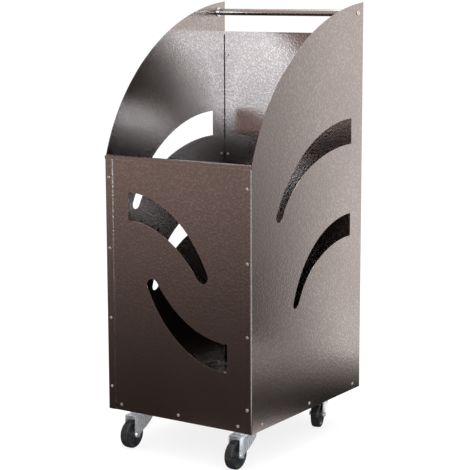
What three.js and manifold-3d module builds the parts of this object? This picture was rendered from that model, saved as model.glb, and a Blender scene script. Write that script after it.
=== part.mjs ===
// Firewood log rack on four swivel casters: riveted sheet-steel body and a round handle bar.
// Millimetres, +Z up. X runs across the rack, -Y is the front, z = 0 is the floor it stands on.
import * as THREE from "three";
import { mergeVertices } from "three/addons/utils/BufferGeometryUtils.js";
import Module from "manifold-3d";

const wasm = await Module();
wasm.setup();

// Body
const WIDTH = 380;
const DEPTH = 470;
const FRONT_HEIGHT = 568;
const SIDE_HEIGHT = 895;
const BACK_HEIGHT = 823;
const SHEET = 1.5;
const GAP = 0.3;
const BEND = 4; // outer radius of the side panels' bends
const FLANGE = 20; // side panels' flanges, turned in over the front and back panels
const FLANGE_TOP = 560;
const REAR_FLANGE_TOP = 815;
const HEM_DEPTH = 16; // top flanges of the front and back panels
const HEM_LIP = 4;
const TRAY_LIP = 26; // height of the floor tray's upturned edges

// Curved top of the side panels: a quarter-ellipse arc
const ARCH = { y: 523, z: 450, a: 537, b: 446 };

// Crescent openings: u runs from the straight wide end to the tip, v is the height on the panel
const FRONT_CUT = { top: 491.5, bottom: 429, outer: [243, 336], inner: [262, 400], ends: [330, 317] };
const FRONT_CUT_X = 129;
const FRONT_CUT_CENTRE = 308;
const SIDE_CUTS = [
  { y: 417, top: 635, bottom: 577, outer: [348, 305], inner: [308, 189], ends: [452, 445] },
  { y: 415, top: 419, bottom: 367, outer: [258, 235], inner: [236, 175], ends: [251, 249] },
];

// Handle
const BAR_R = 8;
const BAR_Y = 441;
const BAR_Z = 869;
const COLLAR = 2;

// Rivets: x or y and z of each row, measured on the body
const FLANGE_RIVET_X = 179.5;
const FRONT_RIVET_Z = [52, 208, 364, 520];
const BACK_RIVET_Z = [52, 290, 528, 766];
const TRAY_RIVET_Z = 13;
const TRAY_RIVET_X = [-155, 0, 155];
const TRAY_RIVET_Y = [42, 237.5, 433];
const RIVET_HOLE = 2.15;

// Casters
const CASTER_HEIGHT = 87;
const WHEEL_R = 31.5;
const TRAIL = 33;
const AXLE_Z = WHEEL_R - CASTER_HEIGHT;
const PIN_R = 4;
const BORE_R = 4.09;
const CASTERS = {
  front_left: { x: -139, y: 50, turn: 0 },
  front_right: { x: 139, y: 50, turn: 0 },
  rear_left: { x: -119, y: 412, turn: 0 },
  rear_right: { x: 119, y: 412, turn: 16 },
};

// The front wheels reach further forward than the body, so the middle of the depth is found from both
const REACH_FRONT = CASTERS.front_left.y - TRAIL - WHEEL_R;
const REACH_BACK = DEPTH + 1.7;
const MIDDLE = (REACH_FRONT + REACH_BACK) / 2;

const rad = THREE.MathUtils.degToRad;
const V2 = (x, y) => new THREE.Vector2(x, y);

// ---- materials ----
function steel(color, roughness, metalness) {
  return new THREE.MeshStandardMaterial({ color, roughness, metalness });
}
const MATERIALS = {
  panel: () => steel(0x7a6a64, 0.42, 0.6),
  handle: () => steel(0x55494a, 0.38, 0.6),
  rivet: () => steel(0x9a908c, 0.38, 0.7),
  zinc: () => steel(0xc3c6cb, 0.28, 0.95),
  wheel: () => steel(0x1c1c20, 0.45, 0.0),
};

// ---- solids ----
function solid(geometry) {
  const bare = new THREE.BufferGeometry();
  const source = geometry.index ? geometry.toNonIndexed() : geometry;
  bare.setAttribute("position", source.getAttribute("position").clone());
  const merged = mergeVertices(bare, 1e-4);
  const mesh = new wasm.Mesh({
    numProp: 3,
    vertProperties: new Float32Array(merged.attributes.position.array),
    triVerts: new Uint32Array(merged.index.array),
  });
  return new wasm.Manifold(mesh);
}

function geometryOf(body) {
  const mesh = body.getMesh();
  const step = mesh.numProp;
  const points = [];
  for (let i = 0; i < mesh.vertProperties.length; i += step) {
    points.push(mesh.vertProperties[i], mesh.vertProperties[i + 1], mesh.vertProperties[i + 2]);
  }
  const geometry = new THREE.BufferGeometry();
  geometry.setAttribute("position", new THREE.Float32BufferAttribute(points, 3));
  geometry.setIndex(new THREE.BufferAttribute(new Uint32Array(mesh.triVerts), 1));
  const flat = geometry.toNonIndexed();
  flat.computeVertexNormals();
  return flat;
}

const X = new THREE.Vector3(1, 0, 0);
const Y = new THREE.Vector3(0, 1, 0);
const Z = new THREE.Vector3(0, 0, 1);

function extrude(shape, depth, curveSegments, basis) {
  const geometry = new THREE.ExtrudeGeometry(shape, { depth, bevelEnabled: false, curveSegments });
  if (basis) geometry.applyMatrix4(new THREE.Matrix4().makeBasis(...basis));
  return geometry;
}
// A profile drawn in (y, z) and run along X, one in (x, z) run along Y, one in (x, y) run along Z
function alongX(shape, from, to, segments = 8) {
  return extrude(shape, to - from, segments, [Y, Z, X]).translate(from, 0, 0);
}
function alongY(shape, from, to, segments = 8) {
  return extrude(shape, to - from, segments, [X, Z, Y.clone().negate()]).translate(0, to, 0);
}
function alongZ(shape, from, to, segments = 8) {
  return extrude(shape, to - from, segments).translate(0, 0, from);
}
function box(x0, x1, y0, y1, z0, z1) {
  const geometry = new THREE.BoxGeometry(x1 - x0, y1 - y0, z1 - z0);
  return geometry.translate((x0 + x1) / 2, (y0 + y1) / 2, (z0 + z1) / 2);
}
// A turned piece about a direction: the profile is (radius, distance along the direction)
function turned(profile, segments, direction) {
  const geometry = new THREE.LatheGeometry(profile.map(([r, w]) => V2(r, w)), segments);
  return geometry.applyQuaternion(new THREE.Quaternion().setFromUnitVectors(Y, direction));
}
function drill(radius, from, to, segments, direction) {
  const profile = [
    [0, from],
    [radius, from],
    [radius, to],
    [0, to],
  ];
  return turned(profile, segments, direction);
}
function cut(body, geometries) {
  let result = body;
  for (const geometry of geometries) result = result.subtract(solid(geometry));
  return result;
}
function join(geometries) {
  let result = solid(geometries[0]);
  for (const geometry of geometries.slice(1)) result = result.add(solid(geometry));
  return result;
}
function roundedRectangle(x0, x1, y0, y1, r) {
  const shape = new THREE.Shape();
  shape.moveTo(x0 + r, y0);
  shape.lineTo(x1 - r, y0);
  shape.absarc(x1 - r, y0 + r, r, -Math.PI / 2, 0, false);
  shape.lineTo(x1, y1 - r);
  shape.absarc(x1 - r, y1 - r, r, 0, Math.PI / 2, false);
  shape.lineTo(x0 + r, y1);
  shape.absarc(x0 + r, y1 - r, r, Math.PI / 2, Math.PI, false);
  shape.lineTo(x0, y0 + r);
  shape.absarc(x0 + r, y0 + r, r, Math.PI, 1.5 * Math.PI, false);
  return shape;
}

// ---- crescent openings ----
// Two elliptical arcs that leave the wide end level and meet in a rounded tip
function crescent({ top, bottom, outer, inner, ends }) {
  const [ao, bo] = outer;
  const [ai, bi] = inner;
  const outerEnd = Math.asin((ends[0] - (top - bo)) / bo);
  const innerEnd = Math.asin((ends[1] - (bottom - bi)) / bi);
  const from = V2(ao * Math.cos(outerEnd), ends[0]);
  const to = V2(ai * Math.cos(innerEnd), ends[1]);
  const reach = 0.667 * from.distanceTo(to);
  const leave = V2(ao * Math.sin(outerEnd), -bo * Math.cos(outerEnd)).setLength(reach).add(from);
  const arrive = V2(ai * Math.sin(innerEnd), -bi * Math.cos(innerEnd)).setLength(reach).add(to);
  const shape = new THREE.Shape();
  shape.moveTo(0, top);
  shape.absellipse(0, top - bo, ao, bo, Math.PI / 2, outerEnd, true);
  shape.bezierCurveTo(leave.x, leave.y, arrive.x, arrive.y, to.x, to.y);
  shape.absellipse(0, bottom - bi, ai, bi, innerEnd, Math.PI / 2, false);
  return shape.getPoints(14);
}
function placed(points, u, v, su, sv) {
  return new THREE.Shape(points.map((p) => V2(u + su * p.x, v + sv * p.y)));
}

// ---- side panels: flat sheet with an arched top and a flange turned in at the front and back ----
function sidePanel() {
  const r = BEND;
  const xb = WIDTH / 2 - r;
  const free = WIDTH / 2 - FLANGE;
  const inner = r - SHEET;
  const profile = new THREE.Shape();
  profile.moveTo(free, 0);
  profile.lineTo(xb, 0);
  profile.absarc(xb, r, r, -Math.PI / 2, 0, false);
  profile.lineTo(WIDTH / 2, DEPTH - r);
  profile.absarc(xb, DEPTH - r, r, 0, Math.PI / 2, false);
  profile.lineTo(free, DEPTH);
  profile.lineTo(free, DEPTH - SHEET);
  profile.lineTo(xb, DEPTH - SHEET);
  profile.absarc(xb, DEPTH - r, inner, Math.PI / 2, 0, true);
  profile.lineTo(WIDTH / 2 - SHEET, r);
  profile.absarc(xb, r, inner, 0, -Math.PI / 2, true);
  profile.lineTo(free, SHEET);
  const folded = solid(alongZ(profile, 0, SIDE_HEIGHT + 10, 5));

  const start = Math.acos((2.7 - ARCH.y) / ARCH.a);
  const end = Math.acos((DEPTH + 5 - ARCH.y) / ARCH.a);
  const outline = new THREE.Shape();
  outline.moveTo(-5, 0);
  outline.lineTo(DEPTH + 5, 0);
  outline.absellipse(ARCH.y, ARCH.z, ARCH.a, ARCH.b, end, start, false);
  outline.lineTo(-5, FLANGE_TOP);
  const trimmed = folded.intersect(solid(alongX(outline, 0, WIDTH, 44)));

  const openings = SIDE_CUTS.map((c) =>
    alongX(placed(crescent(c), c.y, 0, -1, 1), WIDTH / 2 - 5, WIDTH / 2 + 5),
  );
  const rearRelief = box(0, WIDTH / 2 - SHEET, DEPTH - 6, DEPTH + 5, REAR_FLANGE_TOP, SIDE_HEIGHT + 20);
  const holes = [];
  for (const z of FRONT_RIVET_Z) {
    holes.push(drill(RIVET_HOLE, -3, 3, 8, Y).translate(FLANGE_RIVET_X, 0.75, z));
  }
  for (const z of BACK_RIVET_Z) {
    holes.push(drill(RIVET_HOLE, -3, 3, 8, Y).translate(FLANGE_RIVET_X, DEPTH - 0.75, z));
  }
  for (const y of TRAY_RIVET_Y) {
    holes.push(drill(RIVET_HOLE, -3, 3, 8, X).translate(WIDTH / 2, y, TRAY_RIVET_Z));
  }
  holes.push(drill(2.8, -3, 3, 12, X).translate(WIDTH / 2, BAR_Y, BAR_Z));
  return geometryOf(cut(trimmed, [...openings, rearRelief, ...holes]));
}

// ---- front panel: flat sheet behind the flanges, hemmed along its top ----
function frontPanel() {
  const y0 = SHEET + GAP;
  const y1 = y0 + SHEET;
  const step = FLANGE_TOP + GAP;
  const top = FRONT_HEIGHT;
  const r = 3;
  const profile = new THREE.Shape();
  profile.moveTo(y0, 0);
  profile.lineTo(y1, 0);
  profile.lineTo(y1, step + SHEET);
  profile.lineTo(SHEET, step + SHEET);
  profile.lineTo(SHEET, top - r);
  profile.absarc(r, top - r, r - SHEET, Math.PI, Math.PI / 2, true);
  profile.lineTo(HEM_DEPTH - SHEET, top - SHEET);
  profile.lineTo(HEM_DEPTH - SHEET, top - HEM_LIP);
  profile.lineTo(HEM_DEPTH, top - HEM_LIP);
  profile.lineTo(HEM_DEPTH, top);
  profile.lineTo(r, top);
  profile.absarc(r, top - r, r, Math.PI / 2, Math.PI, false);
  profile.lineTo(0, step);
  profile.lineTo(y0, step);
  const half = WIDTH / 2 - 0.4;
  const clear = WIDTH / 2 - SHEET - GAP;
  const sheetHalf = WIDTH / 2 - BEND + 0.5;
  const trims = [];
  for (const side of [-1, 1]) {
    const at = (from, to) => (side > 0 ? [from, to] : [-to, -from]);
    trims.push(box(...at(sheetHalf, WIDTH), -5, 30, -5, step - 0.1));
    trims.push(box(...at(sheetHalf, WIDTH), 1.6, 4.5, -5, top - r));
    trims.push(box(...at(clear, WIDTH), 1.6, 30, -5, top + 5));
  }
  const upper = placed(crescent(FRONT_CUT), -FRONT_CUT_X, 0, 1, 1);
  const lower = placed(crescent(FRONT_CUT), FRONT_CUT_X, 2 * FRONT_CUT_CENTRE, -1, -1);
  const openings = [upper, lower].map((shape) => alongY(shape, -5, 10));
  const holes = [];
  for (const x of [-FLANGE_RIVET_X, FLANGE_RIVET_X]) {
    for (const z of FRONT_RIVET_Z) holes.push(drill(RIVET_HOLE, -4, 4, 8, Y).translate(x, 2, z));
  }
  for (const x of TRAY_RIVET_X) holes.push(drill(RIVET_HOLE, -4, 4, 8, Y).translate(x, 2, TRAY_RIVET_Z));
  return geometryOf(cut(solid(alongX(profile, -half, half, 4)), [...trims, ...openings, ...holes]));
}

// ---- back panel: as the front panel, plain and taller ----
function backPanel() {
  const y0 = DEPTH - SHEET - GAP;
  const y1 = y0 - SHEET;
  const step = REAR_FLANGE_TOP + GAP;
  const top = BACK_HEIGHT;
  const r = 3;
  const profile = new THREE.Shape();
  profile.moveTo(y0, 0);
  profile.lineTo(y0, step);
  profile.lineTo(DEPTH, step);
  profile.lineTo(DEPTH, top - r);
  profile.absarc(DEPTH - r, top - r, r, 0, Math.PI / 2, false);
  profile.lineTo(DEPTH - HEM_DEPTH, top);
  profile.lineTo(DEPTH - HEM_DEPTH, top - HEM_LIP);
  profile.lineTo(DEPTH - HEM_DEPTH + SHEET, top - HEM_LIP);
  profile.lineTo(DEPTH - HEM_DEPTH + SHEET, top - SHEET);
  profile.lineTo(DEPTH - r, top - SHEET);
  profile.absarc(DEPTH - r, top - r, r - SHEET, Math.PI / 2, 0, true);
  profile.lineTo(DEPTH - SHEET, step + SHEET);
  profile.lineTo(y1, step + SHEET);
  profile.lineTo(y1, 0);
  const half = WIDTH / 2 - SHEET - GAP;
  const sheetHalf = WIDTH / 2 - BEND + 0.5;
  const trims = [
    box(sheetHalf, WIDTH, y1 - 5, DEPTH + 5, -5, step - 0.1),
    box(-WIDTH, -sheetHalf, y1 - 5, DEPTH + 5, -5, step - 0.1),
  ];
  const holes = [];
  for (const x of [-FLANGE_RIVET_X, FLANGE_RIVET_X]) {
    for (const z of BACK_RIVET_Z) holes.push(drill(RIVET_HOLE, -4, 4, 8, Y).translate(x, y0, z));
  }
  for (const x of TRAY_RIVET_X) holes.push(drill(RIVET_HOLE, -4, 4, 8, Y).translate(x, y0, TRAY_RIVET_Z));
  return geometryOf(cut(solid(alongX(profile, -half, half, 4)), [...trims, ...holes]));
}

// ---- floor tray: four upturned edges with open corners ----
function floorTray() {
  const half = WIDTH / 2 - SHEET - GAP;
  const y0 = 2 * (SHEET + GAP);
  const y1 = DEPTH - y0;
  const r = 3;
  const channel = new THREE.Shape();
  channel.moveTo(-half + r, 0);
  channel.lineTo(half - r, 0);
  channel.absarc(half - r, r, r, -Math.PI / 2, 0, false);
  channel.lineTo(half, TRAY_LIP);
  channel.lineTo(half - SHEET, TRAY_LIP);
  channel.lineTo(half - SHEET, r);
  channel.absarc(half - r, r, r - SHEET, 0, -Math.PI / 2, true);
  channel.lineTo(-half + r, SHEET);
  channel.absarc(-half + r, r, r - SHEET, -Math.PI / 2, -Math.PI, true);
  channel.lineTo(-half + SHEET, TRAY_LIP);
  channel.lineTo(-half, TRAY_LIP);
  channel.lineTo(-half, r);
  channel.absarc(-half + r, r, r, Math.PI, 1.5 * Math.PI, false);
  const edge = half - 5;
  const body = join([
    alongY(channel, y0, y1, 3),
    box(-edge, edge, y0, y0 + SHEET, 0.5, TRAY_LIP),
    box(-edge, edge, y1 - SHEET, y1, 0.5, TRAY_LIP),
  ]);
  const notches = [];
  for (const side of [-1, 1]) {
    const xs = side > 0 ? [edge, WIDTH] : [-WIDTH, -edge];
    notches.push(box(...xs, -5, y0 + 6, 4, 40));
    notches.push(box(...xs, y1 - 6, DEPTH + 5, 4, 40));
  }
  const holes = [];
  for (const x of TRAY_RIVET_X) {
    for (const y of [y0, y1]) holes.push(drill(RIVET_HOLE, -4, 4, 8, Y).translate(x, y, TRAY_RIVET_Z));
  }
  for (const y of TRAY_RIVET_Y) {
    for (const x of [-half, half]) holes.push(drill(RIVET_HOLE, -4, 4, 8, X).translate(x, y, TRAY_RIVET_Z));
  }
  return geometryOf(cut(body, [...notches, ...holes]));
}

// ---- handle ----
const BAR_HALF = WIDTH / 2 - SHEET - 2 * GAP - COLLAR;
function handleBar() {
  const bore = 2.6;
  const profile = [
    [0, -BAR_HALF + 20],
    [bore, -BAR_HALF + 20],
    [bore, -BAR_HALF],
    [BAR_R - 0.6, -BAR_HALF],
    [BAR_R, -BAR_HALF + 0.6],
    [BAR_R, BAR_HALF - 0.6],
    [BAR_R - 0.6, BAR_HALF],
    [bore, BAR_HALF],
    [bore, BAR_HALF - 20],
    [0, BAR_HALF - 20],
  ];
  return turned(profile, 24, X);
}
function collar() {
  const x = BAR_HALF + GAP;
  const profile = [
    [2.8, x],
    [11, x],
    [11, x + COLLAR],
    [2.8, x + COLLAR],
    [2.8, x],
  ];
  return turned(profile, 24, X);
}
function handleScrew() {
  const face = WIDTH / 2 + 0.2;
  const profile = [
    [0, face - 20],
    [2.4, face - 20],
    [2.4, face],
    [5, face],
    [5, face + 1],
    [3.6, face + 2.4],
    [0, face + 2.9],
  ];
  return turned(profile, 16, X);
}

// ---- rivets: outer surface at distance 0, dome outside and formed tail inside ----
function rivet(direction) {
  const grip = 2 * SHEET + GAP + 0.2;
  const profile = [
    [0, -grip - 1.4],
    [2.3, -grip - 1.4],
    [2.8, -grip],
    [1.9, -grip],
    [1.9, 0.2],
    [3.6, 0.2],
    [2.6, 1.2],
    [0, 1.7],
  ];
  return turned(profile, 8, direction);
}

// ---- casters, about their own swivel axis with the trail toward -Y and z = 0 under the floor tray ----
function topPlate() {
  const plate = join([
    alongZ(roundedRectangle(-28, 28, -31, 31, 7), -2.8, -GAP, 3),
    drill(19, -6.2, -2, 20, Z),
  ]);
  return geometryOf(cut(plate, [drill(PIN_R + 0.3, -10, 5, 12, Z)]));
}
function kingpin() {
  const profile = [
    [0, -18],
    [5, -17.6],
    [8, -14.4],
    [PIN_R, -14.4],
    [PIN_R, -0.6],
    [0, -0.6],
  ];
  return turned(profile, 16, Z);
}
function fork() {
  const leg = new THREE.Shape();
  leg.moveTo(30, -12);
  leg.lineTo(-36, -12);
  leg.lineTo(-37.5, -47);
  leg.absarc(-TRAIL, AXLE_Z, 6.5, Math.PI * 0.95, Math.PI * 1.68, false);
  leg.lineTo(5, -46);
  leg.lineTo(22, -35);
  leg.lineTo(30, -26);
  const race = [
    [0, -12.5],
    [23, -12.5],
    [22, -9],
    [18, -6.5],
    [0, -6.5],
  ];
  const body = join([
    alongZ(roundedRectangle(-15, 15, -36, 30, 3), -14, -12, 2),
    alongX(leg, 13, 15, 5),
    alongX(leg, -15, -13, 5),
    turned(race, 20, Z),
  ]);
  const axleHole = drill(PIN_R + 0.3, -20, 20, 12, X).translate(0, -TRAIL, AXLE_Z);
  return geometryOf(cut(body, [drill(BORE_R, -20, 0, 20, Z), axleHole]));
}
function wheel() {
  const half = [
    [BORE_R, 12.4],
    [9, 12.4],
    [9.6, 7.4],
    [24, 7],
    [26.5, 9.6],
    [29.4, 9.6],
    [WHEEL_R, 6],
  ];
  const profile = [...half.map(([r, w]) => [r, -w]), ...half.reverse(), [BORE_R, -12.4]];
  return turned(profile, 26, X);
}
function axleBolt() {
  const profile = [
    [0, -19.5],
    [6, -19],
    [6, -15.3],
    [PIN_R, -15.3],
    [PIN_R, 15.3],
    [5.5, 15.3],
    [5, 18.2],
    [0, 19],
  ];
  return turned(profile, 12, X);
}

// ---- assembly ----
const group = new THREE.Group();
const rack = new THREE.Group();
rack.position.set(0, -MIDDLE, CASTER_HEIGHT);
group.add(rack);

function add(parent, name, geometry, material) {
  const mesh = new THREE.Mesh(geometry, MATERIALS[material]());
  mesh.name = name;
  parent.add(mesh);
  return mesh;
}

add(rack, "right_side_panel", sidePanel(), "panel");
add(rack, "left_side_panel", sidePanel(), "panel").scale.x = -1;
add(rack, "front_panel", frontPanel(), "panel");
add(rack, "back_panel", backPanel(), "panel");
add(rack, "floor_tray", floorTray(), "panel");

add(rack, "handle_bar", handleBar(), "handle").position.set(0, BAR_Y, BAR_Z);
for (const [side, name] of [[1, "right"], [-1, "left"]]) {
  const end = new THREE.Group();
  end.position.set(0, BAR_Y, BAR_Z);
  end.scale.x = side;
  rack.add(end);
  add(end, `handle_collar_${name}`, collar(), "handle");
  add(end, `handle_screw_${name}`, handleScrew(), "rivet");
}

const front = Y.clone().negate();
const rows = [
  ["left_front_rivet", front, FRONT_RIVET_Z.map((z) => [-FLANGE_RIVET_X, 0, z])],
  ["right_front_rivet", front, FRONT_RIVET_Z.map((z) => [FLANGE_RIVET_X, 0, z])],
  ["left_back_rivet", Y, BACK_RIVET_Z.map((z) => [-FLANGE_RIVET_X, DEPTH, z])],
  ["right_back_rivet", Y, BACK_RIVET_Z.map((z) => [FLANGE_RIVET_X, DEPTH, z])],
  ["tray_front_rivet", front, TRAY_RIVET_X.map((x) => [x, SHEET + GAP, TRAY_RIVET_Z])],
  ["tray_back_rivet", Y, TRAY_RIVET_X.map((x) => [x, DEPTH - SHEET - GAP, TRAY_RIVET_Z])],
  ["tray_left_rivet", X.clone().negate(), TRAY_RIVET_Y.map((y) => [-WIDTH / 2, y, TRAY_RIVET_Z])],
  ["tray_right_rivet", X, TRAY_RIVET_Y.map((y) => [WIDTH / 2, y, TRAY_RIVET_Z])],
];
for (const [name, direction, places] of rows) {
  places.forEach((place, i) => {
    add(rack, `${name}_${i + 1}`, rivet(direction), "rivet").position.set(...place);
  });
}

for (const [name, { x, y, turn }] of Object.entries(CASTERS)) {
  const mount = new THREE.Group();
  mount.position.set(x, y, 0);
  rack.add(mount);
  add(mount, `${name}_caster_plate`, topPlate(), "zinc");
  add(mount, `${name}_kingpin`, kingpin(), "zinc");
  const swivel = new THREE.Group();
  swivel.rotation.z = rad(turn);
  mount.add(swivel);
  add(swivel, `${name}_fork`, fork(), "zinc");
  add(swivel, `${name}_axle_bolt`, axleBolt(), "zinc").position.set(0, -TRAIL, AXLE_Z);
  add(swivel, `${name}_wheel`, wheel(), "wheel").position.set(0, -TRAIL, AXLE_Z);
}

export default group;
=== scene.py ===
"""Firewood log rack on four swivel casters.

Hammered bronze-grey sheet steel, a round handle bar, zinc-plated casters and black rubber wheels.
"""

import math

import bmesh
import bpy
from mathutils import Matrix, Vector


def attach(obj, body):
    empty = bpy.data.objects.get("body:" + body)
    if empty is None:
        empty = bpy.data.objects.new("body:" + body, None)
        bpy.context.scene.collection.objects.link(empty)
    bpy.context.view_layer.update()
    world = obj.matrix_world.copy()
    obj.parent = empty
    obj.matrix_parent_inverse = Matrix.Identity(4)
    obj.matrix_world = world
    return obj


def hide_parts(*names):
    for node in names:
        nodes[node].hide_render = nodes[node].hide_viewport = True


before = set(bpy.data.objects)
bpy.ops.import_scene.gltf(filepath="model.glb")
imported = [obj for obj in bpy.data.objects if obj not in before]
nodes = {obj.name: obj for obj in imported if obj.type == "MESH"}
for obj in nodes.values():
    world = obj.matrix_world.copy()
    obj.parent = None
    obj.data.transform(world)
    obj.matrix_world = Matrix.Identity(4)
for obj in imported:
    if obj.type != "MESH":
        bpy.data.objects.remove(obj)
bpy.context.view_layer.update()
scene = bpy.context.scene

# ---- the rack's own measures, in millimetres: x from its middle, y from its front, z from its underside ----
MM = 0.001
MIDDLE = 228.6  # from the body's front to the middle of the whole rack's depth
CASTER_HEIGHT = 87
WIDTH = 380
DEPTH = 470
SHEET = 1.5
GAP = 0.3  # clearance between pieces that touch
EDGE_BREAK = 0.3

BAR_R = 8
BAR_HALF = 185.9
BAR_Y = 441
BAR_Z = 869
BAR_HOLE_R = 2.6
BAR_HOLE_DEPTH = 18
COLLAR = 2
COLLAR_R = 11
COLLAR_HOLE_R = 2.8
HEAD_SEAT = 0.2  # clearance under a screw or rivet head

RIVET_R = 1.9
FLANGE_RIVET_X = 179.5
FRONT_RIVET_Z = [52, 208, 364, 520]
BACK_RIVET_Z = [52, 290, 528, 766]
TRAY_RIVET_Z = 13
TRAY_RIVET_X = [-155, 0, 155]
TRAY_RIVET_Y = [42, 237.5, 433]

TRAIL = 33
WHEEL_R = 31.5
AXLE_Z = WHEEL_R - CASTER_HEIGHT
AXLE_HOLE_R = 4.2
KINGPIN_HOLE_R = 4.2
PLATE_HALF_X = 28
PLATE_HALF_Y = 31
PLATE_CORNER = 7
PLATE_T = 2.8
PLATE_SCREW_X = 20.5
PLATE_SCREW_Y = 23
SLOT_R = 3.1
SLOT_HALF = 2
FORK_HALF_WIDTH = 15
FORK_SHEET = 2
FORK_BEND = 4
FORK_TOP = -12
JOGGLE = 2.4
# x and y of each caster's pin, and how far its fork is turned at rest, in degrees
CASTERS = {
    "front_left": (-139, 50, 0),
    "front_right": (139, 50, 0),
    "rear_left": (-119, 412, 0),
    "rear_right": (119, 412, 16),
}


def on_body(x, y, z):
    """Matrix that takes millimetres drawn about a point of the body into the scene."""
    place = Vector((x, y - MIDDLE, z + CASTER_HEIGHT)) * MM
    return Matrix.Translation(place) @ Matrix.Scale(MM, 4)


def aim(direction):
    """Matrix that turns +Z to a direction."""
    return Vector((0, 0, 1)).rotation_difference(Vector(direction)).to_matrix().to_4x4()


# ---- camera ----
camera = bpy.data.objects.new("camera", bpy.data.cameras.new("camera"))
scene.collection.objects.link(camera)
camera.data.sensor_width = 36
camera.data.lens = 114.13
camera.data.clip_start = 0.05
camera.data.clip_end = 400
CAMERA_PLACE = (1.8298, -2.7574, 1.0178)
TILT = math.radians(90 - 9.502)
TURN = math.radians(33.591)
ROLL = math.radians(-0.155)
camera.matrix_world = (
    Matrix.Translation(CAMERA_PLACE)
    @ Matrix.Rotation(TURN, 4, "Z")
    @ Matrix.Rotation(TILT, 4, "X")
    @ Matrix.Rotation(ROLL, 4, "Z")
)
scene.camera = camera


# ---- node helpers ----
def link(tree, source, target):
    tree.links.new(source, target)


def add_node(tree, kind, **values):
    node = tree.nodes.new(kind)
    for key, value in values.items():
        if hasattr(node, key):
            setattr(node, key, value)
        else:
            node.inputs[key.replace("_", " ")].default_value = value
    return node


def maths(tree, operation, a, b=None, clamp=False):
    node = tree.nodes.new("ShaderNodeMath")
    node.operation = operation
    node.use_clamp = clamp
    for socket, value in zip(node.inputs, (a, b)):
        if value is None:
            continue
        if isinstance(value, (int, float)):
            socket.default_value = value
        else:
            link(tree, value, socket)
    return node.outputs[0]


def share(tree, mask, amount):
    return maths(tree, "MULTIPLY", mask, amount)


def vector_maths(tree, operation, value):
    node = tree.nodes.new("ShaderNodeVectorMath")
    node.operation = operation
    link(tree, value, node.inputs[0])
    return node


def split_of(tree, vector):
    node = tree.nodes.new("ShaderNodeSeparateXYZ")
    link(tree, vector, node.inputs[0])
    return node


def ramp(tree, value, low, high, to_low=0.0, to_high=1.0):
    """A smooth step: to_low up to low, to_high from high on."""
    node = tree.nodes.new("ShaderNodeMapRange")
    node.interpolation_type = "SMOOTHSTEP"
    node.inputs["From Min"].default_value = low
    node.inputs["From Max"].default_value = high
    node.inputs["To Min"].default_value = to_low
    node.inputs["To Max"].default_value = to_high
    link(tree, value, node.inputs["Value"])
    return node.outputs["Result"]


def blend_colour(tree, factor, a, b):
    node = tree.nodes.new("ShaderNodeMix")
    node.data_type = "RGBA"
    link(tree, factor, node.inputs["Factor"])
    for name, value in (("A", a), ("B", b)):
        socket = [s for s in node.inputs if s.name == name and s.type == "RGBA"][0]
        if isinstance(value, tuple):
            socket.default_value = (*value, 1)
        else:
            link(tree, value, socket)
    return [s for s in node.outputs if s.type == "RGBA"][0]


def new_group(name, inputs, outputs):
    tree = bpy.data.node_groups.new(name, "ShaderNodeTree")
    for socket, value in inputs.items():
        kind = "NodeSocketVector" if value is None else "NodeSocketFloat"
        made = tree.interface.new_socket(name=socket, in_out="INPUT", socket_type=kind)
        if value is not None:
            made.default_value = value
    for socket in outputs:
        tree.interface.new_socket(name=socket, in_out="OUTPUT", socket_type="NodeSocketFloat")
    return tree, tree.nodes.new("NodeGroupInput"), tree.nodes.new("NodeGroupOutput")


def place_group(tree, group, vector, **values):
    node = tree.nodes.new("ShaderNodeGroup")
    node.node_tree = group
    if "Vector" in node.inputs and vector is not None:
        link(tree, vector, node.inputs["Vector"])
    for key, value in values.items():
        node.inputs[key.replace("_", " ")].default_value = value
    return node


# ---- effects shared by the materials ----
def make_hammered_grain():
    """Small soft cells of hammered paint: their relief, and a mask of pale flakes in the cells."""
    inputs = {"Vector": None, "Cells": 230.0}
    tree, ins, outs = new_group("hammered_grain", inputs, ["Relief", "Flakes"])
    cells = add_node(tree, "ShaderNodeTexVoronoi", feature="SMOOTH_F1", Smoothness=0.6)
    link(tree, ins.outputs["Vector"], cells.inputs["Vector"])
    link(tree, ins.outputs["Cells"], cells.inputs["Scale"])
    fine = add_node(tree, "ShaderNodeTexNoise", Detail=1.0, Roughness=0.5)
    link(tree, ins.outputs["Vector"], fine.inputs["Vector"])
    link(tree, share(tree, ins.outputs["Cells"], 0.9), fine.inputs["Scale"])
    dome = ramp(tree, cells.outputs["Distance"], 0.05, 0.75, 1.0, 0.0)
    relief = maths(tree, "ADD", share(tree, dome, 0.7), share(tree, fine.outputs["Fac"], 0.5))
    link(tree, relief, outs.inputs["Relief"])
    link(tree, ramp(tree, relief, 0.42, 0.86), outs.inputs["Flakes"])
    return tree


def make_colour_drift():
    """Slow changes of tone over a large surface, and fine streaks drawn out along Z."""
    inputs = {"Vector": None, "Patches": 5.0}
    tree, ins, outs = new_group("colour_drift", inputs, ["Drift", "Streaks"])
    slow = add_node(tree, "ShaderNodeTexNoise", Detail=4.0, Roughness=0.55)
    link(tree, ins.outputs["Vector"], slow.inputs["Vector"])
    link(tree, ins.outputs["Patches"], slow.inputs["Scale"])
    link(tree, ramp(tree, slow.outputs["Fac"], 0.3, 0.7), outs.inputs["Drift"])
    stretch = add_node(tree, "ShaderNodeMapping", Scale=(1.0, 1.0, 0.08))
    link(tree, ins.outputs["Vector"], stretch.inputs["Vector"])
    lines = add_node(tree, "ShaderNodeTexNoise", Detail=2.0, Roughness=0.5)
    link(tree, stretch.outputs["Vector"], lines.inputs["Vector"])
    link(tree, share(tree, ins.outputs["Patches"], 30.0), lines.inputs["Scale"])
    link(tree, ramp(tree, lines.outputs["Fac"], 0.35, 0.7), outs.inputs["Streaks"])
    return tree


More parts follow.
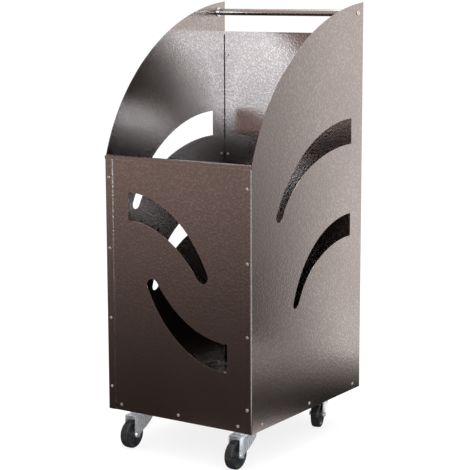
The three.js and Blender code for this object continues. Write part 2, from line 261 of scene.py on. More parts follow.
def make_edge_wear_and_highlight():
    """A mask of edges, for rubbed wear and, in the panel paint, a painted highlight: where the surface turns
    within the reach, broken up by noise.
    """
    inputs = {"Vector": None, "Reach": 0.0008, "Breakup": 120.0}
    tree, ins, outs = new_group("edge_wear_and_highlight", inputs, ["Wear"])
    rounded = tree.nodes.new("ShaderNodeBevel")
    rounded.samples = 6
    link(tree, ins.outputs["Reach"], rounded.inputs["Radius"])
    surface = tree.nodes.new("ShaderNodeNewGeometry")
    dot = tree.nodes.new("ShaderNodeVectorMath")
    dot.operation = "DOT_PRODUCT"
    link(tree, rounded.outputs["Normal"], dot.inputs[0])
    link(tree, surface.outputs["True Normal"], dot.inputs[1])
    turn = ramp(tree, dot.outputs["Value"], 0.80, 0.99, 1.0, 0.0)
    chips = add_node(tree, "ShaderNodeTexNoise", Detail=3.0, Roughness=0.6)
    link(tree, ins.outputs["Vector"], chips.inputs["Vector"])
    link(tree, ins.outputs["Breakup"], chips.inputs["Scale"])
    broken = ramp(tree, chips.outputs["Fac"], 0.3, 0.62, 0.25, 1.0)
    link(tree, maths(tree, "MULTIPLY", turn, broken, clamp=True), outs.inputs["Wear"])
    return tree


def make_settled_dust():
    """Dust that lies on faces that look up, in soft patches."""
    tree, ins, outs = new_group("settled_dust", {"Vector": None, "Patches": 22.0}, ["Dust"])
    surface = tree.nodes.new("ShaderNodeNewGeometry")
    split = tree.nodes.new("ShaderNodeSeparateXYZ")
    link(tree, surface.outputs["Normal"], split.inputs[0])
    up = ramp(tree, split.outputs["Z"], 0.2, 0.95)
    patches = add_node(tree, "ShaderNodeTexNoise", Detail=6.0, Roughness=0.65)
    link(tree, ins.outputs["Vector"], patches.inputs["Vector"])
    link(tree, ins.outputs["Patches"], patches.inputs["Scale"])
    lying = ramp(tree, patches.outputs["Fac"], 0.35, 0.75)
    link(tree, maths(tree, "MULTIPLY", up, lying), outs.inputs["Dust"])
    return tree


HAMMERED_GRAIN = make_hammered_grain()
COLOUR_DRIFT = make_colour_drift()
EDGE_WEAR_AND_HIGHLIGHT = make_edge_wear_and_highlight()
SETTLED_DUST = make_settled_dust()


# ---- materials ----
# colours are linear; patches, cells and breakup are counts per metre, reaches and bump distances are metres
PALE_DUST = (0.42, 0.39, 0.36)
GREY_DUST = (0.2, 0.19, 0.18)
DRIFT_SHARE = 0.35
DEEPEST_SHADE = 0.86


def new_material(name, **shader_values):
    material = bpy.data.materials.new(name)
    material.use_nodes = True
    tree = material.node_tree
    tree.nodes.clear()
    shader = tree.nodes.new("ShaderNodeBsdfPrincipled")
    output = tree.nodes.new("ShaderNodeOutputMaterial")
    link(tree, shader.outputs["BSDF"], output.inputs["Surface"])
    for key, value in shader_values.items():
        shader.inputs[key.replace("_", " ")].default_value = value
    coordinates = tree.nodes.new("ShaderNodeTexCoord").outputs["Object"]
    return material, tree, shader, coordinates


def add_bump(tree, shader, height, distance, strength):
    bump = tree.nodes.new("ShaderNodeBump")
    bump.inputs["Distance"].default_value = distance
    bump.inputs["Strength"].default_value = strength
    link(tree, height, bump.inputs["Height"])
    link(tree, bump.outputs["Normal"], shader.inputs["Normal"])


def hammered_paint(name, dark, light, worn_and_highlight, cells, roughness, coat, relief):
    """Metallic bronze-grey paint with a hammered skin, paler along its edges: partly rubbed paint, partly a
    painted highlight on edges and bends.
    """
    material, tree, shader, where = new_material(
        name, Metallic=1.0, Coat_Weight=coat, Coat_Roughness=0.12, Coat_IOR=1.5, IOR=1.5
    )
    grain = place_group(tree, HAMMERED_GRAIN, where, Cells=cells)
    drift = place_group(tree, COLOUR_DRIFT, where, Patches=4.5)
    wear_and_highlight = place_group(tree, EDGE_WEAR_AND_HIGHLIGHT, where, Reach=0.0009, Breakup=90.0)
    dust = place_group(tree, SETTLED_DUST, where, Patches=18.0)
    body = blend_colour(tree, grain.outputs["Flakes"], dark, light)
    shade = tuple(DEEPEST_SHADE * c for c in dark)
    tinted = blend_colour(tree, share(tree, drift.outputs["Drift"], DRIFT_SHARE), body, shade)
    # the pale edge colour is rubbed paint and also a painted highlight for the light caught on edges and
    # bends
    rubbed_and_highlit = blend_colour(tree, share(tree, wear_and_highlight.outputs["Wear"], 0.95), tinted, worn_and_highlight)
    dusty = blend_colour(tree, share(tree, dust.outputs["Dust"], 0.10), rubbed_and_highlit, PALE_DUST)
    link(tree, dusty, shader.inputs["Base Color"])
    rough = maths(tree, "ADD", share(tree, drift.outputs["Drift"], 0.05), roughness)
    rough = maths(tree, "ADD", rough, share(tree, grain.outputs["Flakes"], -0.05))
    rough = maths(tree, "ADD", rough, share(tree, dust.outputs["Dust"], 0.12), clamp=True)
    link(tree, rough, shader.inputs["Roughness"])
    add_bump(tree, shader, grain.outputs["Relief"], 0.0004, relief)
    return material


def satin_metal(name, dark, light, roughness, patches, metallic=1.0):
    """Plain or plated steel: soft mottling, fine handling marks and paler edges."""
    material, tree, shader, where = new_material(name, Metallic=metallic)
    drift = place_group(tree, COLOUR_DRIFT, where, Patches=patches)
    grain = place_group(tree, HAMMERED_GRAIN, where, Cells=900.0)
    wear_and_highlight = place_group(tree, EDGE_WEAR_AND_HIGHLIGHT, where, Reach=0.0005, Breakup=300.0)
    body = blend_colour(tree, drift.outputs["Drift"], dark, light)
    bright = tuple(min(1.0, 1.15 * c) for c in light)
    edged = blend_colour(tree, share(tree, wear_and_highlight.outputs["Wear"], 0.6), body, bright)
    link(tree, edged, shader.inputs["Base Color"])
    rough = maths(tree, "ADD", share(tree, drift.outputs["Streaks"], 0.14), roughness)
    rough = maths(tree, "ADD", rough, share(tree, grain.outputs["Flakes"], 0.05), clamp=True)
    link(tree, rough, shader.inputs["Roughness"])
    add_bump(tree, shader, grain.outputs["Relief"], 0.00003, 0.4)
    return material


def black_rubber(name, colour, scuffed, roughness, dust_share):
    """Moulded black rubber or plastic with a faint skin, scuffs and dust."""
    material, tree, shader, where = new_material(name, IOR=1.5)
    drift = place_group(tree, COLOUR_DRIFT, where, Patches=60.0)
    grain = place_group(tree, HAMMERED_GRAIN, where, Cells=1400.0)
    wear_and_highlight = place_group(tree, EDGE_WEAR_AND_HIGHLIGHT, where, Reach=0.0012, Breakup=260.0)
    dust = place_group(tree, SETTLED_DUST, where, Patches=60.0)
    body = blend_colour(tree, share(tree, drift.outputs["Drift"], DRIFT_SHARE), colour, scuffed)
    edged = blend_colour(tree, share(tree, wear_and_highlight.outputs["Wear"], 0.4), body, scuffed)
    dusty = blend_colour(tree, share(tree, dust.outputs["Dust"], dust_share), edged, GREY_DUST)
    link(tree, dusty, shader.inputs["Base Color"])
    rough = maths(tree, "ADD", share(tree, drift.outputs["Drift"], 0.12), roughness, clamp=True)
    link(tree, rough, shader.inputs["Roughness"])
    add_bump(tree, shader, grain.outputs["Relief"], 0.00008, 0.6)
    return material


PANEL_PAINT = hammered_paint(
    "bronze_panel_paint",
    dark=(0.225, 0.186, 0.174),
    light=(0.285, 0.243, 0.230),
    # pale edges: rubbed paint and a painted highlight along the edges and bends
    worn_and_highlight=(0.70, 0.63, 0.59),
    cells=190.0,
    roughness=0.205,
    coat=0.30,
    relief=0.28,
)
# the handle paint is much paler than the panels' paint: the bar's own paint with a painted highlight for the
# light from above on its top
HANDLE_PAINT_AND_SHEEN = hammered_paint(
    "bronze_handle_paint_and_sheen",
    dark=(0.52, 0.485, 0.475),
    light=(0.60, 0.565, 0.555),
    worn_and_highlight=(0.55, 0.5, 0.48),
    cells=520.0,
    roughness=0.21,
    coat=0.4,
    relief=0.2,
)
COLLAR_METAL = satin_metal("collar_steel", (0.50, 0.46, 0.44), (0.66, 0.62, 0.60), 0.24, 40.0)
RIVET_METAL = satin_metal("rivet_steel", (0.52, 0.47, 0.44), (0.70, 0.65, 0.62), 0.28, 60.0)
ZINC = satin_metal("bright_zinc", (0.78, 0.81, 0.86), (0.90, 0.93, 0.97), 0.22, 45.0, metallic=0.66)
SCREW_ZINC = satin_metal(
    "screw_zinc", (0.78, 0.80, 0.83), (0.90, 0.92, 0.95), 0.20, 80.0, metallic=0.82
)
TYRE_RUBBER = black_rubber("tyre_rubber", (0.010, 0.010, 0.012), (0.03, 0.03, 0.034), 0.22, 0.12)
HUB_PLASTIC = black_rubber("hub_plastic", (0.018, 0.018, 0.02), (0.06, 0.06, 0.065), 0.38, 0.15)


# ---- mesh helpers: pieces are drawn in millimetres and set on the rack by a matrix ----
FLAT = math.radians(3)  # faces that turn less than this are merged
SHARP = math.radians(28)  # edges that turn more than this are rounded
CREASE = math.radians(34)  # edges that turn more than this are shaded sharp


def turned(profile, segments, along=(0, 0, 1), closed=False, bm=None, at=None):
    """Turns a profile of (radius, distance) about a direction, into a new or a given bmesh."""
    bm = bm or bmesh.new()
    matrix = (at or Matrix.Identity(4)) @ aim(along)
    rings = []
    for radius, distance in profile:
        count = 1 if radius < 1e-6 else segments
        ring = []
        for k in range(count):
            angle = 2 * math.pi * k / segments
            point = Vector((radius * math.cos(angle), radius * math.sin(angle), distance))
            ring.append(bm.verts.new(matrix @ point))
        rings.append(ring)
    pairs = list(zip(rings, rings[1:]))
    if closed:
        pairs.append((rings[-1], rings[0]))
    for low, high in pairs:
        for k in range(segments):
            n = (k + 1) % segments
            if len(low) == 1 and len(high) == 1:
                continue
            if len(low) == 1:
                bm.faces.new((low[0], high[n], high[k]))
            elif len(high) == 1:
                bm.faces.new((low[k], low[n], high[0]))
            else:
                bm.faces.new((low[k], low[n], high[n], high[k]))
    return bm


def prism(outline, from_, to, axis="Z"):
    """Extrudes an outline: drawn in (x, y) for axis Z, (y, z) for axis X and (x, z) for axis Y."""
    bm = bmesh.new()
    order = {
        "Z": lambda a, b, h: (a, b, h),
        "X": lambda a, b, h: (h, a, b),
        "Y": lambda a, b, h: (a, h, b),
    }[axis]
    low = [bm.verts.new(order(a, b, from_)) for a, b in outline]
    high = [bm.verts.new(order(a, b, to)) for a, b in outline]
    bm.faces.new(low)
    bm.faces.new(high)
    for k in range(len(outline)):
        n = (k + 1) % len(outline)
        bm.faces.new((low[k], low[n], high[n], high[k]))
    return bm


def arc(cx, cy, radius, start, end, steps):
    angles = [math.radians(start + (end - start) * k / steps) for k in range(steps + 1)]
    return [(cx + radius * math.cos(a), cy + radius * math.sin(a)) for a in angles]


def rounded_rectangle(half_x, half_y, radius, steps=6):
    corners = [(1, -1, -90), (1, 1, 0), (-1, 1, 90), (-1, -1, 180)]
    points = []
    for sx, sy, start in corners:
        cx, cy = sx * (half_x - radius), sy * (half_y - radius)
        points += arc(cx, cy, radius, start, start + 90, steps)
    return points


def mesh_of(bm, name="draft"):
    bmesh.ops.recalc_face_normals(bm, faces=bm.faces)
    mesh = bpy.data.meshes.new(name)
    bm.to_mesh(mesh)
    bm.free()
    return mesh


def combined(mesh, other, operation):
    """One mesh cut by, joined to or kept inside another."""
    base = bpy.data.objects.new("base", mesh)
    tool = bpy.data.objects.new("tool", other)
    for item in (base, tool):
        scene.collection.objects.link(item)
    change = base.modifiers.new("boolean", "BOOLEAN")
    change.operation = operation
    change.solver = "EXACT"
    change.object = tool
    finished = base.evaluated_get(bpy.context.evaluated_depsgraph_get())
    result = bpy.data.meshes.new_from_object(finished)
    for item in (base, tool):
        bpy.data.objects.remove(item)
    return result


def softened(mesh, width, segments=2):
    """Merges flat faces and rounds every sharp edge."""
    bm = bmesh.new()
    bm.from_mesh(mesh)
    bmesh.ops.remove_doubles(bm, verts=bm.verts, dist=1e-4)
    bmesh.ops.dissolve_limit(bm, angle_limit=FLAT, verts=bm.verts, edges=bm.edges)
    sharp = [e for e in bm.edges if len(e.link_faces) == 2 and e.calc_face_angle(0) > SHARP]
    bmesh.ops.bevel(
        bm,
        geom=sharp,
        offset=width,
        segments=segments,
        profile=0.6,
        affect="EDGES",
        clamp_overlap=True,
    )
    return mesh_of(bm, mesh.name)


def make_piece(name, mesh, matrix, body, material, replaces=()):
    """A finished piece: a copy of the mesh set in place, smoothed between its sharp edges."""
    mesh = mesh.copy()
    mesh.name = name
    mesh.transform(matrix)
    mesh.materials.clear()
    mesh.materials.append(material)
    mesh.polygons.foreach_set("use_smooth", [True] * len(mesh.polygons))
    mesh.set_sharp_from_angle(angle=CREASE)
    piece = bpy.data.objects.new(name, mesh)
    scene.collection.objects.link(piece)
    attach(piece, body)
    if replaces:
        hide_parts(*replaces)


# ---- body: the folded sheets keep their own shapes and get finely broken edges ----
def finish_sheet(node):
    sheet = nodes[node]
    sheet.data.materials.clear()
    sheet.data.materials.append(PANEL_PAINT)
    weld = sheet.modifiers.new("weld", "WELD")
    weld.merge_threshold = 1e-6
    bevel = sheet.modifiers.new("broken_edges", "BEVEL")
    bevel.width = EDGE_BREAK * MM
    bevel.segments = 2
    bevel.limit_method = "ANGLE"
    bevel.angle_limit = math.radians(40)
    bevel.use_clamp_overlap = True


for node in ("right_side_panel", "left_side_panel", "front_panel", "back_panel", "floor_tray"):
    finish_sheet(node)


# ---- handle ----
def handle_bar_mesh():
    half = BAR_HALF
    hole_end = half - BAR_HOLE_DEPTH
    profile = [(0, -hole_end), (BAR_HOLE_R, -hole_end), (BAR_HOLE_R, -half)]
    profile += [(BAR_R - 1, -half), (BAR_R - 0.3, -half + 0.3), (BAR_R, -half + 1)]
    profile += [(BAR_R, -half + 60 * k) for k in range(1, 6)]
    profile += [(BAR_R, half - 1), (BAR_R - 0.3, half - 0.3), (BAR_R - 1, half)]
    profile += [(BAR_HOLE_R, half), (BAR_HOLE_R, hole_end), (0, hole_end)]
    return mesh_of(turned(profile, 64, (1, 0, 0)))


def collar_mesh():
    x0 = BAR_HALF + GAP
    x1 = x0 + COLLAR
    edge = [(COLLAR_R - 0.7, 0), (COLLAR_R - 0.2, 0.2), (COLLAR_R, 0.7)]
    profile = [(COLLAR_HOLE_R, x0)] + [(r, x0 + d) for r, d in edge]
    profile += [(r, x1 - d) for r, d in reversed(edge)] + [(COLLAR_HOLE_R, x1)]
    return mesh_of(turned(profile, 64, (1, 0, 0), closed=True))


def cross_recess(depth, reach, thick, top):
    """The cross that is cut into a screw's head."""
    bars = []
    for a, b in ((reach, thick), (thick, reach)):
        outline = [(-a, -b), (a, -b), (a, b), (-a, b)]
        bars.append(mesh_of(prism(outline, top - depth, top + 2)))
    return combined(*bars, "UNION")


def handle_screw_mesh():
    profile = [(0, -20), (1.8, -20), (2.4, -19.2), (2.4, 0), (4.8, 0), (5, 0.3), (5, 0.9)]
    profile += [(4.6, 1.7), (3.9, 2.3), (2.8, 2.7), (1.4, 2.86), (0, 2.9)]
    head = mesh_of(turned(profile, 40))
    return combined(head, cross_recess(1.5, 2.3, 0.5, 2.9), "DIFFERENCE")


bar_middle = on_body(0, BAR_Y, BAR_Z)
make_piece(
    "turned_handle_bar",
    handle_bar_mesh(),
    bar_middle,
    "rack",
    HANDLE_PAINT_AND_SHEEN,
    ["handle_bar"],
)
collar = collar_mesh()
screw = handle_screw_mesh()
for side, name in ((1, "right"), (-1, "left")):
    turn = Matrix.Rotation(0 if side > 0 else math.pi, 4, "Z")
    make_piece(
        f"bar_collar_{name}",
        collar,
        bar_middle @ turn,
        "rack",
        COLLAR_METAL,
        [f"handle_collar_{name}"],
    )
    make_piece(
        f"bar_screw_{name}",
        screw,
        on_body(side * (WIDTH / 2 + HEAD_SEAT), BAR_Y, BAR_Z) @ aim((side, 0, 0)),
        "rack",
        RIVET_METAL,
        [f"handle_screw_{name}"],
    )


# ---- rivets: domed head with the broken-off stem in its middle, and the tail formed inside ----
def rivet_mesh():
    grip = 2 * SHEET + GAP + 0.2
    tail = [(0, 1.3), (1.6, 1.4), (2.4, 1.1), (2.8, 0.4), (2.8, 0)]
    profile = [(r, -grip - d) for r, d in tail] + [(RIVET_R, -grip), (RIVET_R, HEAD_SEAT)]
    profile += [(3.4, HEAD_SEAT), (3.6, 0.45), (3.35, 0.85), (2.8, 1.25), (2.1, 1.53), (1.3, 1.66)]
    profile += [(1.0, 1.62), (0.92, 1.2), (0.8, 1.2), (0.72, 1.42), (0, 1.46)]
    return mesh_of(turned(profile, 28))


rivet = rivet_mesh()
RIVET_ROWS = [
    ("left_front_rivet", (0, -1, 0), [(-FLANGE_RIVET_X, 0, z) for z in FRONT_RIVET_Z]),
    ("right_front_rivet", (0, -1, 0), [(FLANGE_RIVET_X, 0, z) for z in FRONT_RIVET_Z]),
    ("left_back_rivet", (0, 1, 0), [(-FLANGE_RIVET_X, DEPTH, z) for z in BACK_RIVET_Z]),
    ("right_back_rivet", (0, 1, 0), [(FLANGE_RIVET_X, DEPTH, z) for z in BACK_RIVET_Z]),
    ("tray_front_rivet", (0, -1, 0), [(x, SHEET + GAP, TRAY_RIVET_Z) for x in TRAY_RIVET_X]),
    ("tray_back_rivet", (0, 1, 0), [(x, DEPTH - SHEET - GAP, TRAY_RIVET_Z) for x in TRAY_RIVET_X]),
    ("tray_left_rivet", (-1, 0, 0), [(-WIDTH / 2, y, TRAY_RIVET_Z) for y in TRAY_RIVET_Y]),
    ("tray_right_rivet", (1, 0, 0), [(WIDTH / 2, y, TRAY_RIVET_Z) for y in TRAY_RIVET_Y]),
]
for row, direction, places in RIVET_ROWS:
    for i, place in enumerate(places, 1):
        make_piece(
            f"domed_{row}_{i}",
            rivet,
            on_body(*place) @ aim(direction),
            "rack",
            RIVET_METAL,
            [f"{row}_{i}"],
        )


# ---- casters: drawn about the point where the kingpin meets the underside of the body ----
PLATE_SCREWS = [(sx * PLATE_SCREW_X, sy * PLATE_SCREW_Y) for sx in (-1, 1) for sy in (-1, 1)]
AXLE = Matrix.Translation((0, -TRAIL, AXLE_Z))
ACROSS = (1, 0, 0)


def caster_plate_mesh():
    """The plate with its four slots, and the pressed race of its bearing underneath."""
    outline = rounded_rectangle(PLATE_HALF_X, PLATE_HALF_Y, PLATE_CORNER)
    plate = mesh_of(prism(outline, -PLATE_T, -GAP))
    slot = arc(0, SLOT_HALF, SLOT_R, 0, 180, 8) + arc(0, -SLOT_HALF, SLOT_R, 180, 360, 8)
    for x, y in PLATE_SCREWS:
        cutter = prism([(x + a, y + b) for a, b in slot], -5, 3)
        plate = combined(plate, mesh_of(cutter), "DIFFERENCE")
    plate = softened(plate, 0.35)
    race = [(4.4, -1.5), (19.4, -1.5), (19.4, -PLATE_T), (19, -4.6), (18.2, -5.7), (17, -6.2)]
    race += [(4.4, -6.2)]
    bm = turned(race, 56, closed=True)
    bm.from_mesh(plate)
    return mesh_of(bm)


def plate_screw_mesh():
    """The plate's four screws, with a domed head inside the body and a washer and nut under the plate."""
    bm = bmesh.new()
    for x, y in PLATE_SCREWS:
        at = Matrix.Translation((x, y, 0))
        head = [(0, -7.4), (1.9, -7.4), (2.4, -6.9), (2.4, 1.55), (4.9, 1.55), (5.1, 1.8), (4.9, 2.6)]
        head += [(4.2, 3.4), (3.0, 3.9), (1.5, 4.12), (0, 4.15)]
        turned(head, 28, bm=bm, at=at)
        washer = [(2.6, -2.95), (5.6, -2.95), (5.75, -3.1), (5.75, -3.7), (5.6, -3.85), (2.6, -3.85)]
        turned(washer, 28, closed=True, bm=bm, at=at)
        nut = [(2.6, -3.95), (4.3, -3.95), (4.62, -4.2), (4.62, -6.3), (4.3, -6.6), (2.6, -6.6)]
        turned(nut, 6, closed=True, bm=bm, at=at)
    return mesh_of(bm)


def kingpin_mesh():
    """A pin with its head formed under the fork."""
    profile = [(0, -17.5), (0.8, -17.9), (2.6, -18), (4.6, -17.8), (6.6, -17), (7.7, -15.9)]
    profile += [(8, -15), (7.9, -14.4), (4, -14.4), (4, -0.9), (3.6, -0.6), (0, -0.6)]
    return mesh_of(turned(profile, 40))


def fork_mesh():
    """A strip folded into two legs, trimmed to the legs' outline, with the axle's and the kingpin's holes."""
    below = -70
    corner = FORK_HALF_WIDTH - FORK_BEND
    crown = FORK_TOP - FORK_BEND
    inside = FORK_HALF_WIDTH - FORK_SHEET
    inner = FORK_BEND - FORK_SHEET
    section = [(-FORK_HALF_WIDTH, below)]
    section += arc(-corner, crown, FORK_BEND, 180, 90, 6) + arc(corner, crown, FORK_BEND, 90, 0, 6)
    section += [(FORK_HALF_WIDTH, below), (inside, below)] + arc(corner, crown, inner, 0, 90, 5)
    section += arc(-corner, crown, inner, 90, 180, 5) + [(-inside, below)]
    folded = mesh_of(prism(section, -45, 40, axis="Y"))
    outline = [(27, -5), (31, -14), (30, -26), (27.5, -30.5), (22, -35), (5, -46), (-24, -58.6)]
    outline += arc(-TRAIL, AXLE_Z, 6.5, -38, -172, 9)
    outline += [(-39, -47), (-38, -30), (-37, -14), (-34, -5)]
    fork = combined(folded, mesh_of(prism(outline, -25, 25, axis="X")), "INTERSECT")
    r = AXLE_HOLE_R
    axle_hole = turned([(0, -25), (r, -25), (r, 25), (0, 25)], 32, ACROSS, at=AXLE)
    fork = combined(fork, mesh_of(axle_hole), "DIFFERENCE")
    r = KINGPIN_HOLE_R
    pin_hole = turned([(0, -30), (r, -30), (r, 5), (0, 5)], 32)
    fork = combined(fork, mesh_of(pin_hole), "DIFFERENCE")
    return joggled(softened(fork, 0.45, segments=3))


def joggled(mesh):
    """Sets the rear of each leg inward, so that a strap up from the axle stands proud."""
    bm = bmesh.new()
    bm.from_mesh(mesh)
    cuts = [((0, y, 0), (0, 1, 0)) for y in (-25, -24, -22, -20, -18, -16, -14, -12, -11)]
    cuts += [((0, 0, z), (0, 0, 1)) for z in (-17, -18.5, -20, -21.5, -23)]
    for point, normal in cuts:
        everything = bm.verts[:] + bm.edges[:] + bm.faces[:]
        bmesh.ops.bisect_plane(bm, geom=everything, plane_co=point, plane_no=normal, dist=1e-5)
    for vert in bm.verts:
        x, y, z = vert.co
        if abs(x) < 10 or z > -16:
            continue
        back = min(1, max(0, (y + 24.5) / 13))
        down = min(1, max(0, (-17 - z) / 6))
        shift = JOGGLE * back * (3 * down**2 - 2 * down**3)
        vert.co.x = x - math.copysign(shift, x)
    bmesh.ops.triangulate(bm, faces=[f for f in bm.faces if len(f.verts) > 4])
    return mesh_of(bm)


def ball_race_mesh():
    """The dome on the fork's crown that holds the swivel's balls."""
    profile = [(4.2, -12.1), (23.3, -12.1), (23.6, -11.6), (23.3, -10.2), (22.3, -8.6), (20.8, -7.3)]
    profile += [(19, -6.7), (17.4, -6.6), (16, -6.9), (4.2, -6.9)]
    return mesh_of(turned(profile, 56, closed=True))


def axle_bolt_mesh():
    shank = [(0, -19.4), (3.1, -19.4), (3.9, -18.8), (3.9, 15.3), (6.4, 15.3), (6.7, 15.5), (6.7, 16.1)]
    shank += [(5.6, 16.2), (5.6, 18.3), (5.1, 18.9), (3.4, 19), (3.0, 18.7), (0, 18.6)]
    return mesh_of(turned(shank, 40, ACROSS, at=AXLE))


def axle_nut_mesh():
    at = AXLE @ Matrix.Rotation(math.radians(12), 4, "X")
    washer = [(4.1, -15.3), (6.7, -15.3), (6.9, -15.5), (6.9, -15.9), (6.7, -16.1), (4.1, -16.1)]
    bm = turned(washer, 40, ACROSS, closed=True, at=at)
    nut = [(4.1, -16.2), (5.5, -16.2), (6.0, -16.6), (6.0, -18.4), (5.5, -18.9), (4.1, -18.9)]
    turned(nut, 6, ACROSS, closed=True, bm=bm, at=at)
    return mesh_of(bm)


def tyre_mesh():
    half = [(23.4, 7.6), (24.2, 8.6), (25.4, 9.1), (26.2, 9.05), (26.9, 9.35), (28.2, 9.55), (29.5, 9.2)]
    half += [(30.5, 8.3), (31.15, 6.7), (31.42, 4.6), (WHEEL_R, 2.2), (WHEEL_R, 0.5), (31.38, 0)]
    profile = half + [(r, -w) for r, w in reversed(half[:-1])]
    profile += [(22.6, -6), (22.6, 6)]
    return mesh_of(turned(profile, 96, ACROSS, closed=True, at=AXLE))


def hub_mesh():
    """A turned hub with six low ribs on each side of its web."""
    half = [(4.1, 12.4), (7.6, 12.4), (8.4, 12.1), (8.9, 11.4), (9.3, 5.4), (10.4, 4.2), (19.6, 3.6)]
    half += [(20.8, 4.6), (21.4, 6.8), (22.0, 7.3), (22.5, 7.2)]
    profile = half + [(r, -w) for r, w in reversed(half)]
    bm = turned(profile, 72, ACROSS, closed=True, at=AXLE)
    rib = [(8.6, 0.9), (21.3, 0.7), (21.3, -0.7), (8.6, -0.9)]
    heights = [7.6, 6.2, 6.2, 7.6]
    for k in range(6):
        turn = AXLE @ Matrix.Rotation(math.radians(60 * k + 14), 4, "X")
        for side in (1, -1):
            low = [bm.verts.new(turn @ Vector((side * 3.0, a, b))) for a, b in rib]
            high = [
                bm.verts.new(turn @ Vector((side * height, a, 0.75 * b)))
                for height, (a, b) in zip(heights, rib)
            ]
            bm.faces.new(low)
            bm.faces.new(high)
            for i in range(4):
                n = (i + 1) % 4
                bm.faces.new((low[i], low[n], high[n], high[i]))
    return mesh_of(bm)


CASTER_PIECES = [
    ("top_plate", caster_plate_mesh(), "rack", "zinc_steel", ZINC, "caster_plate"),
    ("plate_screws", plate_screw_mesh(), "rack", "zinc_steel", SCREW_ZINC, None),
    ("king_pin", kingpin_mesh(), "rack", "zinc_steel", ZINC, "kingpin"),
    ("pressed_fork", fork_mesh(), "swivel", "zinc_steel", ZINC, "fork"),
    ("ball_race", ball_race_mesh(), "swivel", "zinc_steel", ZINC, None),
    ("axle_screw", axle_bolt_mesh(), "swivel", "zinc_steel", SCREW_ZINC, "axle_bolt"),
    ("axle_nut", axle_nut_mesh(), "swivel", "zinc_steel", SCREW_ZINC, None),
    ("tyre", tyre_mesh(), "roller", "wheel_rubber", TYRE_RUBBER, "wheel"),
    ("hub", hub_mesh(), "roller", "wheel_rubber", HUB_PLASTIC, None),
]
for caster, (x, y, angle) in CASTERS.items():
    mount = on_body(x, y, 0)
    turn = Matrix.Rotation(math.radians(angle), 4, "Z")
    for piece, mesh, body, slot, material, stands_for in CASTER_PIECES:
        fixed = body == "rack"
        make_piece(
            f"{caster}_{piece}",
            mesh,
            mount if fixed else mount @ turn,
            body if fixed else f"{caster}_{body}",
            material,
            [f"{caster}_{stands_for}"] if stands_for else [],
        )


# ---- studio: pale floor, pale surroundings, soft lights, and cards that only the gloss sees; in metres ----
WARM = (1.0, 0.80, 0.74)
NEUTRAL = (1.0, 0.99, 0.97)
COOL = (0.74, 0.96, 1.09)
FRONT_RIGHT = (0.88, -0.47, 0.0)
FLOOR_GREY = 0.24
FLOOR_GLOW = 0.82
FLOOR_HALF = 150


def make_floor():
    bm = bmesh.new()
    bmesh.ops.create_grid(bm, x_segments=1, y_segments=1, size=FLOOR_HALF)
    mesh = bpy.data.meshes.new("studio_floor")
    bm.to_mesh(mesh)
    bm.free()
    floor = bpy.data.objects.new("studio_floor", mesh)
    scene.collection.objects.link(floor)
    material = bpy.data.materials.new("studio_floor")
    material.use_nodes = True
    shader = material.node_tree.nodes["Principled BSDF"]
    shader.inputs["Base Color"].default_value = (FLOOR_GREY, FLOOR_GREY, FLOOR_GREY, 1)
    shader.inputs["Roughness"].default_value = 0.9
    shader.inputs["Specular IOR Level"].default_value = 0.0
    shader.inputs["Emission Color"].default_value = (1, 1, 1, 1)
    shader.inputs["Emission Strength"].default_value = FLOOR_GLOW
    mesh.materials.append(material)
    floor.visible_glossy = False


def rear_right_share(tree, split):
    """0 toward the front left, 1 toward the rear right."""
    across = share(tree, split.outputs["X"], 0.8)
    along = share(tree, split.outputs["Y"], 0.6)
    return ramp(tree, maths(tree, "ADD", across, along), -0.55, 0.45)


def make_surroundings():
    """White to look at and for soft light. In gloss, dimmer and warmer away from the rear right."""
    world = bpy.data.worlds.new("studio")
    scene.world = world
    world.use_nodes = True
    tree = world.node_tree
    tree.nodes.clear()
    direction = tree.nodes.new("ShaderNodeTexCoord").outputs["Generated"]
    side = rear_right_share(tree, split_of(tree, direction))
    level = ramp(tree, side, 0.0, 1.0, to_low=0.58, to_high=0.74)
    tint = blend_colour(tree, side, WARM, NEUTRAL)
    path = tree.nodes.new("ShaderNodeLightPath")
    pale = tree.nodes.new("ShaderNodeBackground")
    mirrored = tree.nodes.new("ShaderNodeBackground")
    link(tree, tint, mirrored.inputs["Color"])
    link(tree, level, mirrored.inputs["Strength"])
    pale.inputs["Color"].default_value = (1, 1, 1, 1)
    mix = tree.nodes.new("ShaderNodeMixShader")
    link(tree, path.outputs["Is Glossy Ray"], mix.inputs["Fac"])
    link(tree, pale.outputs[0], mix.inputs[1])
    link(tree, mirrored.outputs[0], mix.inputs[2])
    output = tree.nodes.new("ShaderNodeOutputWorld")
    link(tree, mix.outputs[0], output.inputs["Surface"])


def reflector(name, place, towards, size):
    """A glowing card that only shows in gloss. Returns its node tree and its emission node."""
    bm = bmesh.new()
    bmesh.ops.create_grid(bm, x_segments=1, y_segments=1, size=0.5)
    mesh = bpy.data.meshes.new(name)
    bm.to_mesh(mesh)
    bm.free()
    card = bpy.data.objects.new(name, mesh)
    scene.collection.objects.link(card)
    facing = (Vector(towards) - Vector(place)).to_track_quat("Z", "Y").to_matrix().to_4x4()
    card.matrix_world = Matrix.Translation(place) @ facing @ Matrix.Diagonal((*size, 1, 1))
    material = bpy.data.materials.new(name)
    material.use_nodes = True
    tree = material.node_tree
    tree.nodes.clear()
    glow = tree.nodes.new("ShaderNodeEmission")
    output = tree.nodes.new("ShaderNodeOutputMaterial")
    link(tree, glow.outputs[0], output.inputs["Surface"])
    material.cycles.emission_sampling = "NONE"
    mesh.materials.append(material)
    card.visible_camera = False
    card.visible_diffuse = False
    card.visible_transmission = False
    card.visible_shadow = False
    return tree, glow


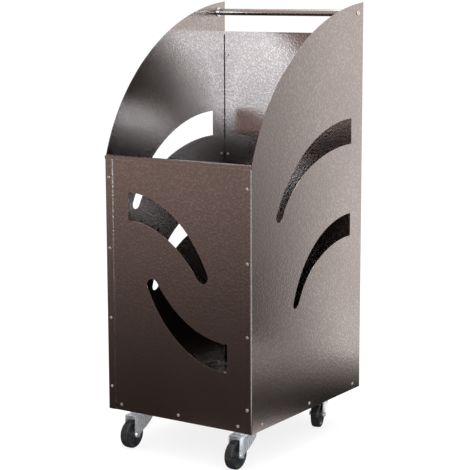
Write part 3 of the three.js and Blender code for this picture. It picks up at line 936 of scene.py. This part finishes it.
def make_camera_side_card():
    """Large card at the front right, much brighter after two bounces than after one.

    So it lights the inner faces, which see it in one another, more than the outer ones.
    """
    tree, glow = reflector("camera_side_card", (2.9, -4.0, 0.75), (0.0, 0.1, 0.8), (3.0, 2.2))
    bounces = tree.nodes.new("ShaderNodeLightPath").outputs["Ray Depth"]
    strength = ramp(tree, bounces, 1.2, 1.8, to_low=1.2, to_high=18.5)
    link(tree, strength, glow.inputs["Strength"])
    glow.inputs["Color"].default_value = (*COOL, 1)


def footprint_apron(tree, where, reach):
    """A bright band around the rack, from just outside its footprint."""
    place = split_of(tree, where)
    past_side = maths(tree, "SUBTRACT", maths(tree, "ABSOLUTE", place.outputs["X"]), WIDTH / 2 * MM)
    past_end = maths(tree, "SUBTRACT", maths(tree, "ABSOLUTE", place.outputs["Y"]), DEPTH / 2 * MM)
    outside = ramp(tree, maths(tree, "MAXIMUM", past_side, past_end), 0.03, 0.11)
    near = ramp(tree, reach, 0.34, 0.41, to_low=1.6, to_high=0.0)
    return maths(tree, "MULTIPLY", outside, near)


def front_right_streak(tree, unit, reach):
    """A bright ray on the floor, out to the front right."""
    toward = vector_maths(tree, "DOT_PRODUCT", unit)
    toward.inputs[1].default_value = FRONT_RIGHT
    streak = ramp(tree, toward.outputs["Value"], 0.972, 0.995, to_low=0.0, to_high=2.8)
    return maths(tree, "MULTIPLY", streak, ramp(tree, reach, 0.5, 0.8))


def make_reflected_floor():
    """What the gloss sees of the floor: dark close to the rack and in its shade, paler further out."""
    tree, glow = reflector("reflected_floor", (0, 0, -0.002), (0, 0, 1), (60, 60))
    where = tree.nodes.new("ShaderNodeNewGeometry").outputs["Position"]
    reach = vector_maths(tree, "LENGTH", where).outputs["Value"]
    unit = vector_maths(tree, "NORMALIZE", where).outputs[0]
    side = rear_right_share(tree, split_of(tree, unit))
    change = tree.nodes.new("ShaderNodeMix")
    link(tree, side, change.inputs["Factor"])
    link(tree, ramp(tree, reach, 0.2, 6.0, to_low=0.06, to_high=0.72), change.inputs[2])
    link(tree, ramp(tree, reach, 0.55, 1.05, to_low=0.03, to_high=0.85), change.inputs[3])
    apron = footprint_apron(tree, where, reach)
    streak = front_right_streak(tree, unit, reach)
    accents = maths(tree, "MAXIMUM", apron, streak)
    link(tree, maths(tree, "MAXIMUM", change.outputs[0], accents), glow.inputs["Strength"])
    link(tree, blend_colour(tree, side, WARM, NEUTRAL), glow.inputs["Color"])


def make_rear_right_card():
    """Past the rear right corner: brightest on its inner side, dimmer outward, most of all low down."""
    tree, glow = reflector("rear_right_card", (0.45, 0.77, 0.55), (0.45, -1.0, 0.55), (1.3, 1.9))
    where = split_of(tree, tree.nodes.new("ShaderNodeNewGeometry").outputs["Position"])
    outward = ramp(tree, where.outputs["X"], 0.47, 0.85)
    loss = ramp(tree, where.outputs["Z"], 0.0, 1.0, to_low=0.95, to_high=0.49)
    left = maths(tree, "SUBTRACT", 1.0, maths(tree, "MULTIPLY", outward, loss))
    link(tree, share(tree, left, 1.75), glow.inputs["Strength"])
    glow.inputs["Color"].default_value = (*NEUTRAL, 1)


def make_edge_light_card():
    """Narrow card far off at the front right, which draws the light line down the bent corners."""
    _, glow = reflector("edge_light_card", (3.5, -1.75, 0.5), (0.19, -0.23, 0.5), (0.7, 1.4))
    glow.inputs["Strength"].default_value = 3.2
    glow.inputs["Color"].default_value = (*NEUTRAL, 1)


def soft_light(name, place, towards, size, power):
    data = bpy.data.lights.new(name, "AREA")
    data.shape = "RECTANGLE"
    data.size, data.size_y = size
    data.energy = power
    light = bpy.data.objects.new(name, data)
    scene.collection.objects.link(light)
    light.location = place
    light.rotation_euler = (Vector(towards) - Vector(place)).to_track_quat("-Z", "Y").to_euler()
    light.visible_camera = False


scene.view_settings.view_transform = "Standard"
make_floor()
make_surroundings()
make_reflected_floor()
make_rear_right_card()
make_camera_side_card()
make_edge_light_card()
soft_light("overhead_softbox", (0.2, 0.3, 3.2), (0.0, 0.1, 0.5), (2.6, 2.6), 50)
soft_light("front_right_softbox", (2.6, -2.6, 2.4), (0.0, 0.0, 0.5), (1.8, 1.8), 30)
